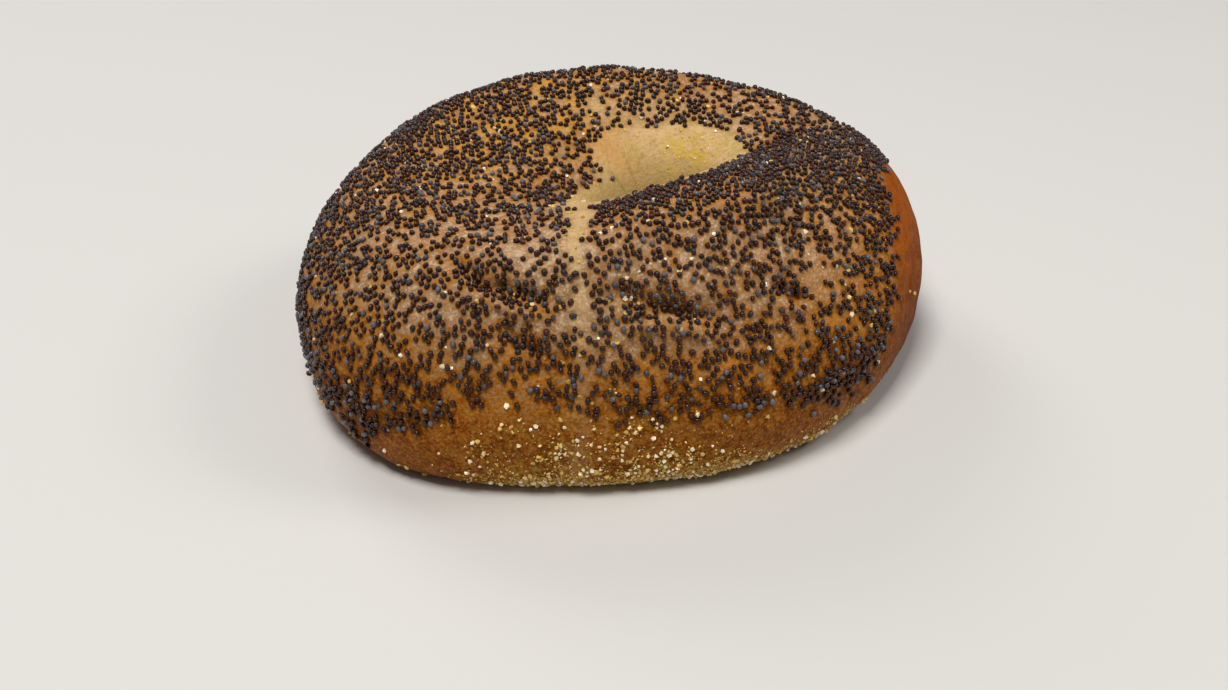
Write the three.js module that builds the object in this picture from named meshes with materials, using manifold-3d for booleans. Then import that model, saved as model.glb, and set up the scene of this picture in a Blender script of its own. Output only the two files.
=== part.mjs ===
// A poppy seed bagel: one baked ring of dough with a narrow slanted hole, and the seeds and cornmeal baked onto it.
// Millimetres. +Z is up and the bagel lies on z = 0. The origin is on that plane, under the middle of its outline.
//
// A place on the skin is given by two angles. "around" is the direction from the ring's centre in the XY plane,
// counted from +X. "section" runs round the dough itself: 0 is the outer side, 90 the crown, 180 the narrowest
// place of the hole and 270 the underside.

import * as THREE from "three";
import { mergeVertices } from "three/addons/utils/BufferGeometryUtils.js";
import Module from "manifold-3d";

const DEGREE = Math.PI / 180;
const FULL_TURN = 2 * Math.PI;

// Driving dimensions.
const MEAN_RADIUS = 52.7; // of the outline, from the ring's centre
const CROWN_HEIGHT = 39; // mean height of the crown above the base
const OUTER_HEIGHT = 14.8; // where the outer side is widest
const WAIST_HEIGHT = 18; // where the hole is narrowest
const BASE_CUT = 1.5; // how much of the round underside the flat base takes away
const CENTRE = { x: -1.4, y: 0.4 }; // the ring's centre, from the middle of the outline
const HOLE = { x: 9, y: 4.8, halfLength: 9, halfWidth: 4.5, turn: 36 }; // its waist, from the ring's centre

// The unevenness of a hand-shaped ring. Each ripple has a number of lobes round the ring, a rise and a peak.
const OUTLINE_RIPPLES = [
  { lobes: 2, rise: 4.8, peak: 15 },
  { lobes: 3, rise: 1.1, peak: 18 },
  { lobes: 4, rise: 0.9, peak: 44 },
  { lobes: 5, rise: 0.8, peak: 13 },
];
const CROWN_RIPPLES = [
  { lobes: 1, rise: 1.8, peak: -46 },
  { lobes: 2, rise: 2.4, peak: -70 },
];

// Where the crown lies, as a share of the way from the hole's waist to the outline.
const CROWN_SHARE = 0.6;
const CROWN_SHARE_RIPPLES = [
  { lobes: 1, rise: 0.08, peak: 180 },
  { lobes: 2, rise: 0.05, peak: 96 },
];

// How full each quarter of the section is: 2 is an ellipse, more is squarer and less is flatter.
const OUTER_TOP_FULLNESS = 1.83;
const OUTER_TOP_RIPPLES = [
  { lobes: 1, rise: 0.43, peak: 79 },
  { lobes: 2, rise: 0.32, peak: 58 },
];
const OUTER_UNDER_FULLNESS = 3.6;
const HOLE_TOP_FULLNESS = 2.35;
const HOLE_TOP_RIPPLES = [
  { lobes: 1, rise: 0.15, peak: -90 },
  { lobes: 2, rise: 0.3, peak: 5 },
];
const HOLE_UNDER_FULLNESS = 2.6;

// Folds and dents in the skin. Each lies along a short line with its middle at a place on the ring. The line runs
// halfAround degrees to each side, climbs "turn" section degrees for each degree around, and is halfSection wide.
const FOLDS = [
  { name: "seam", around: 262, section: 40, halfAround: 3, halfSection: 62, turn: 0, depth: 0.9 },
  { name: "left fold", around: 246, section: 58, halfAround: 11, halfSection: 6, turn: -0.8, depth: 1.6 },
  { name: "left dip", around: 255, section: 32, halfAround: 8, halfSection: 8, turn: -1.4, depth: 1.4 },
  { name: "right fold", around: 282, section: 45, halfAround: 13, halfSection: 6, turn: -0.4, depth: 2 },
  { name: "right pit", around: 314, section: 39, halfAround: 4, halfSection: 5, turn: -0.8, depth: 1.3 },
  { name: "back fold", around: 15, section: 108, halfAround: 8, halfSection: 8, turn: -1.5, depth: 1.8 },
];

// Mesh of the dough: steps round the ring and round the section, which are closer together on the side that shows.
const STEPS_AROUND = 80;
const STEPS_SECTION = 28;
const SHOWN_SIDE = { from: -25, to: 150, closeness: 2 };

// Poppy seeds cover the top and the sides down to a line that rises and falls round the ring.
const SEED = { length: 1.2, width: 1, height: 0.9, sunk: 0.2 };
const SEED_COUNT = 180;
const SEED_SPACING = 6.5; // the widest spacing tried for the fused seeds; it shrinks until all have a place
const SEED_LINE = 8; // height of the line above the base
const SEED_LINE_RISES = [
  { name: "front", around: 255, half: 18, height: 11.5, power: 2 },
  { name: "right of the seam", around: 288, half: 15, height: 6, power: 2 },
  { name: "bare right end", around: 8, half: 28, height: 24.5, power: 4 },
];
const HOLE_BARE_FROM = 120; // section angle where the smooth wall of the hole begins
const HOLE_BARE_RISES = [{ name: "left", around: 170, half: 45, height: 25, power: 2 }];
const BARE_SEAM = { around: 262, half: 3.5 };

// Coarse cornmeal clings to the front of the bagel, just above the base.
const GRIT = { size: 1.1, sunk: 0.3 };
const GRIT_COUNT = 14;
const GRIT_BAND = { aroundFrom: 252, aroundTo: 318, sectionFrom: -42, sectionTo: -8, spacing: 2.6 };

const SEED_START = 7; // starts of the random streams
const GRIT_START = 21;

const SKIN_COLOUR = new THREE.Color("#a4723a");

// The base value plus every ripple in the direction "around", which is in degrees.
function rippled(around, base, ripples) {
  return ripples.reduce((sum, r) => sum + r.rise * Math.cos(r.lobes * (around - r.peak) * DEGREE), base);
}

// The smallest turn from one direction to another.
function turnBetween(from, to) {
  return ((((to - from) % 360) + 540) % 360) - 180;
}

// 1 in the middle, fading out over "half".
function bell(distance, half, power = 2) {
  return Math.exp(-(Math.abs(distance / half) ** power));
}

// The base value plus every local rise.
function risen(around, base, rises) {
  return rises.reduce((sum, r) => sum + r.height * bell(turnBetween(r.around, around), r.half, r.power), base);
}

// How far the folds press the skin in.
function foldDepth(around, section) {
  return FOLDS.reduce((sum, fold) => {
    const along = turnBetween(fold.around, around);
    const across = turnBetween(fold.section + fold.turn * along, section);
    return sum + fold.depth * bell(along, fold.halfAround) * bell(across, fold.halfSection);
  }, 0);
}

// The hole's waist in the direction "around" from its own middle.
function waistPoint(around) {
  const turned = (around - HOLE.turn) * DEGREE;
  const across = Math.hypot(HOLE.halfWidth * Math.cos(turned), HOLE.halfLength * Math.sin(turned));
  const reach = (HOLE.halfLength * HOLE.halfWidth) / across;
  return new THREE.Vector2(HOLE.x + reach * Math.cos(around * DEGREE), HOLE.y + reach * Math.sin(around * DEGREE));
}

function outlinePoint(around) {
  const reach = rippled(around, MEAN_RADIUS, OUTLINE_RIPPLES);
  return new THREE.Vector2(reach * Math.cos(around * DEGREE), reach * Math.sin(around * DEGREE));
}

function fullnessAt(around, isOuter, isTop) {
  if (isOuter) return isTop ? rippled(around, OUTER_TOP_FULLNESS, OUTER_TOP_RIPPLES) : OUTER_UNDER_FULLNESS;
  return isTop ? rippled(around, HOLE_TOP_FULLNESS, HOLE_TOP_RIPPLES) : HOLE_UNDER_FULLNESS;
}

// A point of the dough's skin.
function skinPoint(around, section) {
  const cosine = Math.cos(section * DEGREE);
  const sine = Math.sin(section * DEGREE);
  const isOuter = cosine >= 0;
  const isTop = sine >= 0;
  const power = 2 / fullnessAt(around, isOuter, isTop);
  const sideways = Math.abs(cosine) ** power;
  const upright = Math.abs(sine) ** power;

  const crownShare = rippled(around, CROWN_SHARE, CROWN_SHARE_RIPPLES);
  const share = isOuter ? crownShare + (1 - crownShare) * sideways : crownShare - crownShare * sideways;
  const middle = isOuter ? OUTER_HEIGHT : WAIST_HEIGHT;
  const crown = rippled(around, CROWN_HEIGHT, CROWN_RIPPLES);
  const height = isTop ? middle + (crown - middle) * upright : middle - (middle + BASE_CUT) * upright;

  const inner = waistPoint(around);
  const outer = outlinePoint(around);
  const flat = inner.clone().lerp(outer, share);
  const core = inner.clone().lerp(outer, crownShare);
  const point = new THREE.Vector3(flat.x, flat.y, height);
  const inward = new THREE.Vector3(core.x, core.y, middle).sub(point).normalize();
  point.addScaledVector(inward, foldDepth(around, section));
  point.x += CENTRE.x;
  point.y += CENTRE.y;
  point.z = Math.max(point.z, 0);
  return point;
}

// Section angles whose steps along the skin are even, and shorter on the side that shows.
function sectionSteps() {
  const fine = 1440;
  const along = [0];
  for (let i = 1; i <= fine; i++) {
    const from = (360 * (i - 1)) / fine;
    const to = (360 * i) / fine;
    const shown = turnBetween(SHOWN_SIDE.from, to) >= 0 && turnBetween(to, SHOWN_SIDE.to) >= 0;
    const weight = shown ? SHOWN_SIDE.closeness : 1;
    along.push(along[i - 1] + weight * skinPoint(180, from).distanceTo(skinPoint(180, to)));
  }
  return Array.from({ length: STEPS_SECTION }, (_, k) => {
    const wanted = (along[fine] * k) / STEPS_SECTION;
    return (360 * along.findIndex((length) => length >= wanted)) / fine;
  });
}

// The dough as one closed ring of triangles, with each four-sided patch cut along its shorter diagonal.
function doughGeometry() {
  const sections = sectionSteps();
  const points = [];
  for (let i = 0; i < STEPS_AROUND; i++) {
    const around = (360 * i) / STEPS_AROUND;
    sections.forEach((section) => points.push(skinPoint(around, section)));
  }
  const at = (i, j) => (i % STEPS_AROUND) * STEPS_SECTION + (j % STEPS_SECTION);
  const triangles = [];
  for (let i = 0; i < STEPS_AROUND; i++) {
    for (let j = 0; j < STEPS_SECTION; j++) {
      const [a, b, c, d] = [at(i, j), at(i + 1, j), at(i + 1, j + 1), at(i, j + 1)];
      const cutAC = points[a].distanceTo(points[c]) < points[b].distanceTo(points[d]);
      triangles.push(...(cutAC ? [a, b, c, a, c, d] : [a, b, d, b, c, d]));
    }
  }
  const geometry = new THREE.BufferGeometry().setFromPoints(points);
  geometry.setIndex(triangles);
  return geometry;
}

// A stream of numbers from 0 to 1 that is the same each time.
function randomStream(start) {
  let state = start;
  return () => {
    state = (state + 0x6d2b79f5) | 0;
    let mixed = Math.imul(state ^ (state >>> 15), 1 | state);
    mixed = (mixed + Math.imul(mixed ^ (mixed >>> 7), 61 | mixed)) ^ mixed;
    return ((mixed ^ (mixed >>> 14)) >>> 0) / 4294967296;
  };
}

// Whether poppy seeds cling to the skin here.
function isSeeded(around, section, point) {
  const overLine = point.z > risen(around, SEED_LINE, SEED_LINE_RISES);
  const outOfHole = section < risen(around, HOLE_BARE_FROM, HOLE_BARE_RISES);
  const offSeam = Math.abs(turnBetween(BARE_SEAM.around, around)) > BARE_SEAM.half;
  return overLine && outOfHole && offSeam;
}

// The skin's outward direction.
function skinNormal(around, section) {
  const step = 0.5;
  const alongRing = skinPoint(around + step, section).sub(skinPoint(around - step, section));
  const alongSection = skinPoint(around, section + step).sub(skinPoint(around, section - step));
  return alongRing.cross(alongSection).normalize();
}

// Up to "count" places in a range of angles, each at least the spacing from the others. The spacing starts wide
// and shrinks with each refused place, which spreads them evenly over the skin.
function scatter({ count, start, aroundRange, sectionRange, widest, isWanted }) {
  const random = randomStream(start);
  const shrink = 0.9998;
  const places = [];
  let spacing = widest;
  while (places.length < count) {
    const around = THREE.MathUtils.lerp(...aroundRange, random());
    const section = THREE.MathUtils.lerp(...sectionRange, random());
    const spin = random() * FULL_TURN;
    const point = skinPoint(around, section);
    if (!isWanted(around, section, point)) continue;
    if (places.some((place) => place.point.distanceTo(point) < spacing)) {
      spacing *= shrink;
      continue;
    }
    places.push({ point, normal: skinNormal(around, section), spin });
  }
  return places;
}

// Puts a small body on the meshed dough, with its middle "lift" above the face that it lies on.
function placed(geometry, place, lift, dough) {
  const reach = 5;
  const above = place.point.clone().addScaledVector(place.normal, reach);
  const [hit] = new THREE.Raycaster(above, place.normal.clone().negate()).intersectObject(dough);
  const centre = hit.point.clone().addScaledVector(place.normal, lift);
  geometry.rotateZ(place.spin);
  geometry.applyQuaternion(new THREE.Quaternion().setFromUnitVectors(new THREE.Vector3(0, 0, 1), place.normal));
  return geometry.translate(centre.x, centre.y, centre.z);
}

function seedGeometries(dough) {
  const places = scatter({
    count: SEED_COUNT,
    start: SEED_START,
    aroundRange: [0, 360],
    sectionRange: [-40, 150],
    widest: SEED_SPACING,
    isWanted: isSeeded,
  });
  return places.map((place) => {
    const seed = new THREE.IcosahedronGeometry(0.5, 0).scale(SEED.length, SEED.width, SEED.height);
    return placed(seed, place, SEED.height / 2 - SEED.sunk, dough);
  });
}

function gritGeometries(dough) {
  const places = scatter({
    count: GRIT_COUNT,
    start: GRIT_START,
    aroundRange: [GRIT_BAND.aroundFrom, GRIT_BAND.aroundTo],
    sectionRange: [GRIT_BAND.sectionFrom, GRIT_BAND.sectionTo],
    widest: GRIT_BAND.spacing,
    isWanted: () => true,
  });
  return places.map((place) => {
    const grit = new THREE.OctahedronGeometry(GRIT.size / 2, 0);
    return placed(grit, place, GRIT.size / 2 - GRIT.sunk, dough);
  });
}

const wasm = await Module();
wasm.setup();

function solidFrom(geometry) {
  geometry.deleteAttribute("normal");
  geometry.deleteAttribute("uv");
  const merged = mergeVertices(geometry);
  return new wasm.Manifold(new wasm.Mesh({
    numProp: 3,
    vertProperties: merged.attributes.position.array,
    triVerts: new Uint32Array(merged.index.array),
  }));
}

function geometryFrom(solid) {
  const mesh = solid.getMesh();
  const geometry = new THREE.BufferGeometry();
  geometry.setAttribute("position", new THREE.BufferAttribute(mesh.vertProperties, mesh.numProp));
  geometry.setIndex(new THREE.BufferAttribute(mesh.triVerts, 1));
  geometry.computeVertexNormals();
  return geometry;
}

function bagelMesh() {
  const skin = new THREE.MeshStandardMaterial({ color: SKIN_COLOUR, roughness: 0.55, metalness: 0 });
  const dough = new THREE.Mesh(doughGeometry(), skin);
  const toppings = [...seedGeometries(dough), ...gritGeometries(dough)];
  const solid = toppings.reduce((sum, topping) => sum.add(solidFrom(topping)), solidFrom(dough.geometry));
  const mesh = new THREE.Mesh(geometryFrom(solid), skin);
  mesh.name = "bagel";
  return mesh;
}

const bagel = new THREE.Group();
bagel.name = "poppy_seed_bagel";
bagel.add(bagelMesh());

export default bagel;
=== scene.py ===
"""A poppy seed bagel: a baked ring of dough with a slanted hole, poppy seeds and cornmeal.

Lengths in the named values are in millimetres and turned into Blender's metres where a mesh is
made. A place on the skin is given by two angles in degrees. "around" is the direction from the
ring's centre, counted from +X. "section" runs round the dough itself: 0 is the outer side, 90 the
crown, 180 the narrowest place of the hole and 270 (or -90) the underside.
"""

import math
from collections import namedtuple

import bmesh
import bpy
import numpy as np
from mathutils import Matrix, Vector, kdtree, noise


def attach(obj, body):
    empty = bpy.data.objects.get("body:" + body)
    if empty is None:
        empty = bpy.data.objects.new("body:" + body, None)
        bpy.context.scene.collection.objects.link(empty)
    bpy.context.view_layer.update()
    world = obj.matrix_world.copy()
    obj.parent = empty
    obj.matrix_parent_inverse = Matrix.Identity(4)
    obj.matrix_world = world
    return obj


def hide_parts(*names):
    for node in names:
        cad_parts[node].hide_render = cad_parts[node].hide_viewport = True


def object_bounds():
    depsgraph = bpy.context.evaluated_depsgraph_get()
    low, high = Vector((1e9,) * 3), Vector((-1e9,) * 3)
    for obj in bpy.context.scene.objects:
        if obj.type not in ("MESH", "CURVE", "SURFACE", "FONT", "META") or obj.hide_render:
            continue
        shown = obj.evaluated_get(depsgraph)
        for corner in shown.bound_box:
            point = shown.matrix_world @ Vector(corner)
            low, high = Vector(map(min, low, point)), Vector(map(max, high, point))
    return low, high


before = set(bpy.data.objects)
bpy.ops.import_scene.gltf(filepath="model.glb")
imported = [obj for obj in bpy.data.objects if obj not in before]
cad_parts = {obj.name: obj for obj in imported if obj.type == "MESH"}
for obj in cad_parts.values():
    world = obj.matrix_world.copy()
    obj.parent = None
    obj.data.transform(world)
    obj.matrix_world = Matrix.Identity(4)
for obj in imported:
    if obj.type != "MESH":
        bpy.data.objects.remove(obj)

bl_info = {
    "name": "Poppy Seed Bagel",
    "version": (1, 0, 0),
    "blender": (4, 5, 0),
    "location": "3D View > Sidebar > Bagel",
    "description": "Builds a poppy seed bagel: crust, seeds, cornmeal and a plain stage",
    "category": "Add Mesh",
}

MM = 0.001
CAD_NODE = "bagel"
BODY = "root"
cad_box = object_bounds()

# --------------------------------------------------------------------------------------------------
# The ring's shape
# --------------------------------------------------------------------------------------------------

Ripple = namedtuple("Ripple", "lobes rise peak")  # a wave round the ring, and where it peaks
Rise = namedtuple("Rise", "around half height power")  # a local rise; a higher power flattens it
Step = namedtuple("Step", "height start end")  # a rise from one angle to another

# A fold in the skin. It is slanted by "turn": so many degrees of section for each degree around.
Fold = namedtuple("Fold", "around section half_around half_section turn depth")

MEAN_RADIUS = 52.7  # of the outline, from the ring's centre
CROWN_HEIGHT = 39.0  # mean height of the crown above the base
OUTER_HEIGHT = 14.8  # where the outer side is widest
WAIST_HEIGHT = 18.0  # where the hole is narrowest
BASE_CUT = 1.5  # how much of the round underside the base takes away
CENTRE = (-1.4, 0.4)  # the ring's centre, from the middle of the outline
HOLE_MIDDLE = (9.0, 4.8)  # of the hole's waist, from the ring's centre
HOLE_HALF_LENGTH = 9.0
HOLE_HALF_WIDTH = 4.5
HOLE_TURN = 36.0

OUTLINE_RIPPLES = (Ripple(2, 4.8, 15), Ripple(3, 1.1, 18), Ripple(4, 0.9, 44), Ripple(5, 0.8, 13))
CROWN_RIPPLES = (Ripple(1, 1.8, -46), Ripple(2, 2.4, -70))
CROWN_SHARE = 0.6  # where the crown lies, from the hole's waist to the outline
CROWN_SHARE_RIPPLES = (Ripple(1, 0.08, 180), Ripple(2, 0.05, 96))

# How full each quarter of the section is: 2 is an ellipse, more is squarer and less is flatter.
OUTER_TOP_FULLNESS = 1.83
OUTER_TOP_RIPPLES = (Ripple(1, 0.43, 79), Ripple(2, 0.32, 58))
OUTER_UNDER_FULLNESS = 3.6
HOLE_TOP_FULLNESS = 2.35
HOLE_TOP_RIPPLES = (Ripple(1, 0.15, -90), Ripple(2, 0.3, 5))
HOLE_UNDER_FULLNESS = 2.6

SEAM_FOLD = Fold(262, 40, 3, 62, 0, 0.9)
DENTS = (
    Fold(246, 58, 11, 6, -0.8, 1.6),  # left fold
    Fold(255, 32, 8, 8, -1.4, 1.4),  # left dip
    Fold(282, 45, 13, 6, -0.4, 2.0),  # right fold
    Fold(314, 39, 4, 5, -0.8, 1.3),  # right pit
    Fold(15, 108, 8, 8, -1.5, 1.8),  # back fold
)
FOLDS = (SEAM_FOLD, *DENTS)

# Lips beside the folds, and fine creases, all narrower than the folds. A lip stands up, so its
# depth is negative.
CREASES = (
    Fold(247, 50, 9, 3.0, -0.8, -0.7),
    Fold(246, 58, 9, 2.0, -0.8, 1.5),
    Fold(283, 38.5, 11, 3.0, -0.4, -0.7),
    Fold(281, 46, 11, 1.8, -0.4, 0.5),
    Fold(282, 45, 13, 6.0, -0.4, -0.5),
    Fold(277, 42, 5, 1.2, 0.3, 0.5),
    Fold(316, 35.5, 6, 2.0, -0.4, -0.6),
    Fold(314, 40, 4, 1.8, -0.8, 0.7),
    Fold(311, 45, 4, 1.2, 0.9, 0.6),
    Fold(311, 37, 5, 1.4, -0.9, -0.7),
    Fold(254, 35, 6, 2.0, -1.4, 0.9),
    Fold(256, 28, 6, 2.4, -1.4, -0.4),
    Fold(300, 30, 6, 1.2, 0.5, -0.3),
    Fold(293, 22, 5, 1.1, 0.7, -0.3),
    Fold(262, 60, 0.8, 26, 0.0, 0.25),
    Fold(259, 86, 0.7, 14, 0.0, 0.25),
    Fold(16, 104, 7, 2.6, -1.5, -0.4),
    Fold(115, 146, 1.5, 10, 0.0, -0.45),
    Fold(142, 150, 2.0, 10, 0.1, -0.4),
    Fold(128, 152, 9, 1.6, 0.15, -0.16),
    Fold(170, 66, 7, 1.6, 0.6, 0.3),
    Fold(205, 44, 6, 1.4, -0.6, 0.3),
    Fold(70, 52, 8, 1.8, 0.4, 0.4),
    Fold(128, 38, 7, 1.6, -0.5, 0.4),
)


def rippled(around, base, ripples):
    """The base value plus every ripple in the direction "around"."""
    return base + sum(r.rise * np.cos(r.lobes * np.radians(around - r.peak)) for r in ripples)


def turn_between(start, end):
    """The smallest turn from one direction to another."""
    return (end - start + 180.0) % 360.0 - 180.0


def bell(distance, half, power=2):
    """1 in the middle, fading out over "half"."""
    return np.exp(-(np.abs(distance / half) ** power))


def risen(around, base, rises):
    """The base value plus every local rise."""
    return base + sum(
        rise.height * bell(turn_between(rise.around, around), rise.half, rise.power)
        for rise in rises
    )


def ramp(value, start, end):
    """0 up to the start, 1 from the end on, smooth between them. The start may be greater."""
    share = np.clip((value - start) / (end - start), 0.0, 1.0)
    return share * share * (3.0 - 2.0 * share)


def stepped(angle, base, steps):
    """The base value plus every step, which rises between two angles."""
    return base + sum(step.height * ramp(angle, step.start, step.end) for step in steps)


def pressed_in(folds, around, section):
    """How far the folds press the skin in."""
    total = np.zeros_like(around)
    for fold in folds:
        along = turn_between(fold.around, around)
        across = turn_between(fold.section + fold.turn * along, section)
        total += fold.depth * bell(along, fold.half_around) * bell(across, fold.half_section)
    return total


def waist_point(around):
    """The hole's waist in the direction "around" from its own middle."""
    turned = np.radians(around - HOLE_TURN)
    across = np.hypot(HOLE_HALF_WIDTH * np.cos(turned), HOLE_HALF_LENGTH * np.sin(turned))
    reach = HOLE_HALF_LENGTH * HOLE_HALF_WIDTH / across
    angle = np.radians(around)
    return HOLE_MIDDLE[0] + reach * np.cos(angle), HOLE_MIDDLE[1] + reach * np.sin(angle)


def outline_point(around):
    """The outline in the direction "around" from the ring's centre."""
    reach = rippled(around, MEAN_RADIUS, OUTLINE_RIPPLES)
    return reach * np.cos(np.radians(around)), reach * np.sin(np.radians(around))


def skin_points(around, section):
    """Points of the dough's skin, with its folds. Both angles are arrays of one shape."""
    cosine, sine = np.cos(np.radians(section)), np.sin(np.radians(section))
    outer_side, top_side = cosine >= 0, sine >= 0
    outer_top = rippled(around, OUTER_TOP_FULLNESS, OUTER_TOP_RIPPLES)
    hole_top = rippled(around, HOLE_TOP_FULLNESS, HOLE_TOP_RIPPLES)
    outer_fullness = np.where(top_side, outer_top, OUTER_UNDER_FULLNESS)
    hole_fullness = np.where(top_side, hole_top, HOLE_UNDER_FULLNESS)
    power = 2.0 / np.where(outer_side, outer_fullness, hole_fullness)
    sideways, upright = np.abs(cosine) ** power, np.abs(sine) ** power

    crown_share = rippled(around, CROWN_SHARE, CROWN_SHARE_RIPPLES)
    past_crown = np.where(outer_side, (1 - crown_share) * sideways, -crown_share * sideways)
    share = crown_share + past_crown
    middle = np.where(outer_side, OUTER_HEIGHT, WAIST_HEIGHT)
    crown = rippled(around, CROWN_HEIGHT, CROWN_RIPPLES)
    rise = np.where(top_side, (crown - middle) * upright, -(middle + BASE_CUT) * upright)
    height = middle + rise

    inner, outer = np.stack(waist_point(around), -1), np.stack(outline_point(around), -1)
    flat = inner + (outer - inner) * share[..., None]
    core = inner + (outer - inner) * crown_share[..., None]
    points = np.concatenate([flat, height[..., None]], -1)
    inward = np.concatenate([core, middle[..., None]], -1) - points
    inward /= np.linalg.norm(inward, axis=-1, keepdims=True)
    points += inward * pressed_in(FOLDS, around, section)[..., None]
    return points + np.array([*CENTRE, 0.0])


# --------------------------------------------------------------------------------------------------
# The bare end, the hollow and the seam
# --------------------------------------------------------------------------------------------------

Noise = namedtuple("Noise", "size octaves start")  # "start" gives each one draws of its own
NOISE_STEPS = (17.3, 5.9, 11.1)  # how far apart the draws of two starts lie

# How far the uneven noise moves the edge of the seam, the hollow and the meal, in degrees, and
# that of the seed line, in millimetres.
UNEVEN_NOISE = Noise(3.0, 2, 6)
RAGGED_SEAM, RAGGED_HOLLOW, RAGGED_MEAL, RAGGED_SEED_LINE = 1.4, 3.0, 8.0, 1.2

# The lowest height above the base at which poppy seeds cling, and how it wanders at the bare end.
SEED_LINE = 8.0
SEED_LINE_RISES = (
    Rise(223, 8, -4.5, 2),
    Rise(255, 18, 11.5, 2),
    Rise(288, 15, 6, 2),
    Rise(307, 12, 3, 2),
    Rise(8, 28, 21, 4),
    Rise(9, 12, 3, 2),
)
END_WANDER = Rise(32, 20, 3.0, 4)
END_WANDER_NOISE = Noise(7.0, 3, 12)
BARE_END_AROUND, BARE_END_HALF = 8.0, 32
BARE_END_EDGE = (-2.6, 0.8)  # depths below the seed line between which its colour sets in

# The section angle from which the hollow is bare. Its edge fades in from before that to after it.
HOLE_BARE_FROM = 120.0
HOLE_BARE_RISES = (Rise(172, 48, 25, 2), Rise(90, 26, 6, 2))
HOLE_EDGE_BEFORE, HOLE_EDGE_AFTER = 7.0, 5.0
HOLE_BARE_END = (270.0, 230.0)  # where the hole's bare skin ends at the underside

SEAM_AROUND = 265.3
SEAM_BEND = 0.0011  # turns by this times the section's angle squared
SEAM_CREST, SEAM_TURN = 100.0, 0.6  # past this angle it turns further, by this for each degree
SEAM_HALF_WIDTH = 2.0
SEAM_STEPS = (Step(1.2, 78, 92), Step(2.6, 93, 105), Step(4.0, 108, 118), Step(0.9, 30, -10))
SEAM_BULGE, SEAM_BULGE_MIDDLE, SEAM_BULGE_HALF = 0.7, 52.0, 18
SEAM_END = (-75.0, -40.0)  # the section angles over which it fades out near the base


def noise_field(points, kind):
    """Smooth noise from about -1 to 1 at each point, with features of the kind's size."""
    shift = Vector([kind.start * step for step in NOISE_STEPS])
    flat = points.reshape(-1, 3) / kind.size
    values = [noise.fractal(Vector(p) + shift, 1.0, 2.0, kind.octaves) for p in flat]
    return np.array(values).reshape(points.shape[:-1])


def seed_line(around, points):
    """The lowest height at which poppy seeds cling. It wanders where it crosses the bare end."""
    wander = noise_field(points, END_WANDER_NOISE) * risen(around, 0.0, (END_WANDER,))
    return risen(around, SEED_LINE, SEED_LINE_RISES) + wander


def bare_end(around, points):
    """1 on the bare strip at the ring's right end, which lies below the seed line."""
    over_line = ramp(seed_line(around, points) - points[..., 2], *BARE_END_EDGE)
    return bell(turn_between(BARE_END_AROUND, around), BARE_END_HALF, 4) * over_line


def hollow(around, section):
    """1 in the smooth, pale hollow and in the hole."""
    rim = risen(around, HOLE_BARE_FROM, HOLE_BARE_RISES)
    inside = ramp(section, rim - HOLE_EDGE_BEFORE, rim + HOLE_EDGE_AFTER)
    return inside * ramp(section, *HOLE_BARE_END)


def seeded_part(around, section, points, softness, uneven=0.0):
    """1 where poppy seeds cling: above the seed line and outside the hollow."""
    rim = risen(around, HOLE_BARE_FROM, HOLE_BARE_RISES)
    over_line = points[..., 2] - seed_line(around, points) + RAGGED_SEED_LINE * uneven
    before_rim = rim - section + RAGGED_HOLLOW * uneven
    return ramp(over_line, -softness, softness) * ramp(before_rim, -softness, softness)


def seam_middle(section):
    """The direction in which the seam lies at each section angle."""
    past_crest = np.maximum(section - SEAM_CREST, 0.0)
    return SEAM_AROUND - SEAM_BEND * np.maximum(section, 0.0) ** 2 - SEAM_TURN * past_crest


def seam(around, section):
    """1 along the pale seam from the hollow down the front. It is widest at the hollow."""
    width = stepped(section, SEAM_HALF_WIDTH, SEAM_STEPS)
    width += SEAM_BULGE * bell(section - SEAM_BULGE_MIDDLE, SEAM_BULGE_HALF)
    return bell(turn_between(seam_middle(section), around), width) * ramp(section, *SEAM_END)


# --------------------------------------------------------------------------------------------------
# Where the crust is baked, seeded and dusted, and where shade is painted in its creases and its
# hole
# --------------------------------------------------------------------------------------------------

# An area of the skin: its middle and its half sizes. A higher power gives a flatter middle.
Area = namedtuple(
    "Area", "around half_around section half_section power_around power_section", defaults=(2, 2)
)
Skin = namedtuple("Skin", "around section points uneven end creased seam")

PALE_RIM = Area(75, 50, 119, 11, 4)
WARM_HOLLOW = Area(124, 17, 136, 14)
WARM_RIGHT = Area(350, 26, 40, 24)
FRONT_FACE = Area(268, 42, 56, 44, 2, 4)
BACK_LEFT = Area(150, 45, 88, 38)
NEAR_RIM = Area(296, 40, 98, 28, 4)
RIGHT_TOP = Area(352, 40, 84, 36)
BESIDE_SEAM = Area(253, 11, 70, 20)
GOLDEN_LEFT = Area(142, 58, 98, 38, 4, 4)
GOLDEN_RIGHT = Area(350, 30, 52, 28, 4, 4)
RIGHT_SIDE = Area(330, 22, 46, 18)
LEFT_TOP = Area(240, 16, 100, 30)
HOLLOW_BACK = Area(78, 40, 114, 14, 4, 4)
HOLLOW_CORNER = Area(102, 12, 119, 7)
LOW_FRONT = Area(272, 60, 24, 26, 4)
RIGHT_END = Area(356, 24, 64, 25, 4, 4)
RIGHT_BACK = Area(5, 22, 98, 16)
MEAL_PATCH = Area(58, 20, 139, 11)
MEAL_BACK = Area(138, 34, 114, 16)

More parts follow.
